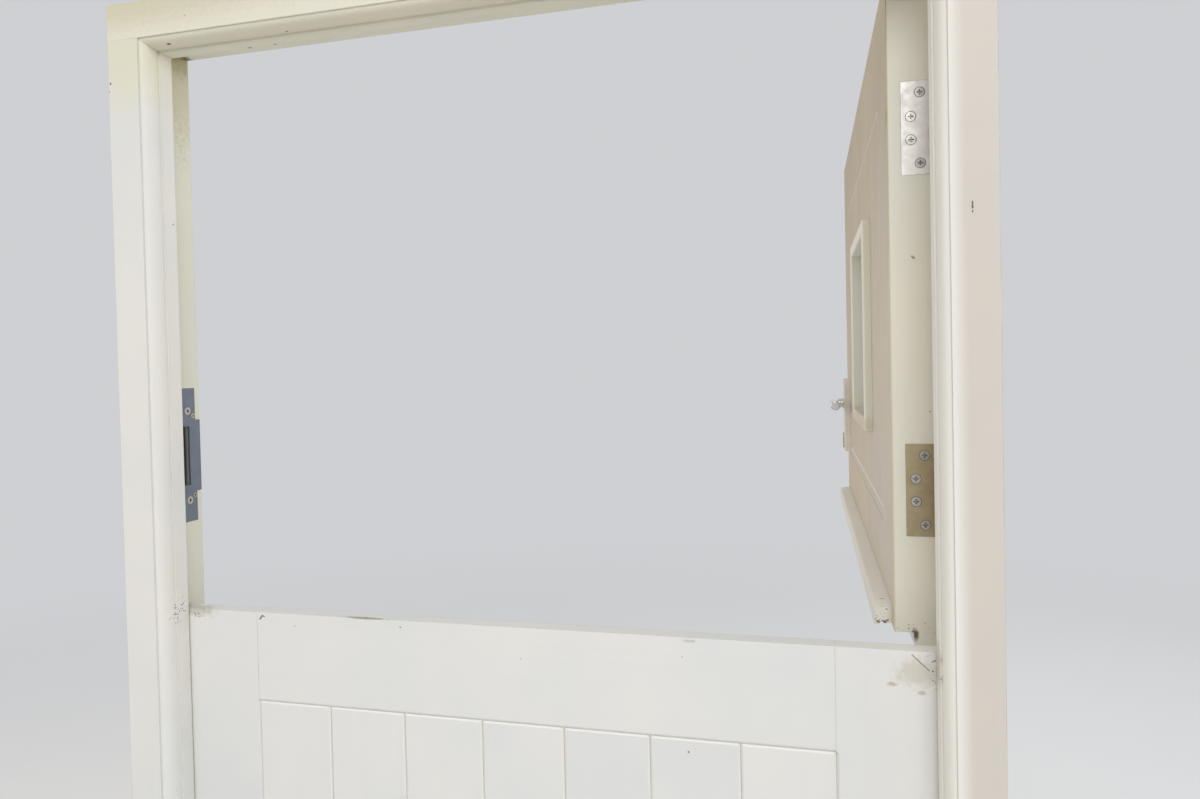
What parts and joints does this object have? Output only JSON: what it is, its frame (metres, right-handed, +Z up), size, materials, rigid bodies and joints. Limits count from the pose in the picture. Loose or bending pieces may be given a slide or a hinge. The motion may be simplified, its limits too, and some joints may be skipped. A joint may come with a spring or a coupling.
{
  "type": "stable door",
  "caption": "Half-and-half timber stable door in a rebated frame: a windowed upper leaf and a lower leaf that open inwards separately",
  "frame": {"origin": "on the underside of the sill, midway between the jambs, in the plane of the closed leaves' outer face", "axes": "+X to the right as seen from outside, towards the hinges; +Y into the building; +Z up"},
  "size_m": [1.032, 1.092, 2.081],
  "materials": {
    "painted_wood": "cream brush-painted softwood, slightly yellowed, with scuffs, specks and mildew",
    "hinge_steel": "satin steel, the lower hinges browner",
    "keep_steel": "dark blue-grey coated steel",
    "screw_steel": "bright zinc-plated steel",
    "lever_chrome": "polished chrome",
    "handle_plate_paint": "cream gloss",
    "glass": "clear float glass",
    "seal_rubber": "pale soft rubber",
    "sill_wood": "worn cream-painted hardwood",
    "bar_steel": "galvanised steel",
    "bolt_steel": "black coated steel",
    "lock_steel": "zinc-plated sheet steel",
    "cylinder_brass": "brass"
  },
  "bodies": {
    "frame": {"left_jamb": "painted_wood", "right_jamb": "painted_wood", "head": "painted_wood", "sill": "sill_wood", "water_bar": "bar_steel", "weather_seals": "seal_rubber", "strike_plate": "keep_steel", "strike_plate_screws": "screw_steel", "upper_leaf_low_hinge_frame_side": "hinge_steel", "upper_leaf_high_hinge_frame_side": "hinge_steel", "lower_leaf_low_hinge_frame_side": "hinge_steel", "lower_leaf_high_hinge_frame_side": "hinge_steel", "frame_hinge_screws": "screw_steel", "upper_hinge_pins": "hinge_steel", "lower_hinge_pins": "hinge_steel", "jamb_bolt_keep": "bolt_steel", "jamb_keep_screws": "bolt_steel"},
    "upper_leaf": {"upper_hinge_stile": "painted_wood", "upper_lock_stile": "painted_wood", "upper_top_rail": "painted_wood", "upper_bottom_rail": "painted_wood", "upper_boards": "painted_wood", "upper_weatherboard": "painted_wood", "outer_window_frame": "painted_wood", "inner_window_frame": "painted_wood", "window_glass": "glass", "upper_leaf_low_hinge_door_side": "hinge_steel", "upper_leaf_high_hinge_door_side": "hinge_steel", "upper_leaf_hinge_screws": "screw_steel", "lock_case": "lock_steel", "forend_screws": "screw_steel", "lock_cylinder": "cylinder_brass", "outer_handle_plate": "handle_plate_paint", "inner_handle_plate": "handle_plate_paint", "handle_plate_screws": "screw_steel", "joining_bolt_keep": "bolt_steel", "joining_keep_screws": "bolt_steel"},
    "lower_leaf": {"lower_hinge_stile": "painted_wood", "lower_lock_stile": "painted_wood", "lower_top_rail": "painted_wood", "lower_bottom_rail": "painted_wood", "lower_boards": "painted_wood", "lower_weatherboard": "painted_wood", "lower_leaf_low_hinge_door_side": "hinge_steel", "lower_leaf_high_hinge_door_side": "hinge_steel", "lower_leaf_hinge_screws": "screw_steel", "jamb_bolt_base": "bolt_steel", "joining_bolt_base": "bolt_steel", "bolt_base_screws": "bolt_steel"},
    "handles": {"outer_lever": "lever_chrome", "inner_lever": "lever_chrome", "spindle": "lock_steel", "lock_follower": "lock_steel"},
    "latch": {"latch_bolt": "lock_steel"},
    "dead_bolt": {"dead_bolt": "lock_steel"},
    "thumb_turn": {"thumb_turn": "lever_chrome"},
    "jamb_bolt": {"jamb_bolt_rod": "bolt_steel"},
    "joining_bolt": {"joining_bolt_rod": "bolt_steel"}
  },
  "joints": [
    {"name": "upper_leaf_swing", "type": "hinge", "parent": "frame", "child": "upper_leaf", "pos_m": [0.4735, 0.0505, 1.674], "axis": [0, 0, -1], "range_deg": [-90, 85]},
    {"name": "lower_leaf_swing", "type": "hinge", "parent": "frame", "child": "lower_leaf", "pos_m": [0.4735, 0.0505, 0.682], "axis": [0, 0, -1], "range_deg": [0, 90]},
    {"name": "lever_turn", "type": "hinge", "parent": "upper_leaf", "child": "handles", "pos_m": [0.443, 0.936, 1.523], "axis": [1, 0, 0], "range_deg": [0, 40], "stiffness_Nm_per_rad": 1.2, "springref_deg": -28.65},
    {"name": "latch_slide", "type": "slide", "parent": "upper_leaf", "child": "latch", "axis": [0, -1, 0], "range_m": [0, 0.0115]},
    {"name": "thumb_turn_turn", "type": "hinge", "parent": "upper_leaf", "child": "thumb_turn", "pos_m": [0.443, 0.936, 1.451], "axis": [1, 0, 0], "range_deg": [0, 90]},
    {"name": "dead_bolt_slide", "type": "slide", "parent": "upper_leaf", "child": "dead_bolt", "axis": [0, 1, 0], "range_m": [0, 0.02]},
    {"name": "jamb_bolt_slide", "type": "slide", "parent": "lower_leaf", "child": "jamb_bolt", "axis": [-1, 0, 0], "range_m": [0, 0.032]},
    {"name": "joining_bolt_slide", "type": "slide", "parent": "lower_leaf", "child": "joining_bolt", "axis": [0, 0, 1], "range_m": [0, 0.032]}
  ],
  "couplings": [
    {"joint": "latch_slide", "follows": "lever_turn", "m_per_rad": 0.0164},
    {"joint": "thumb_turn_turn", "follows": "dead_bolt_slide", "rad_per_m": 78.5}
  ]
}
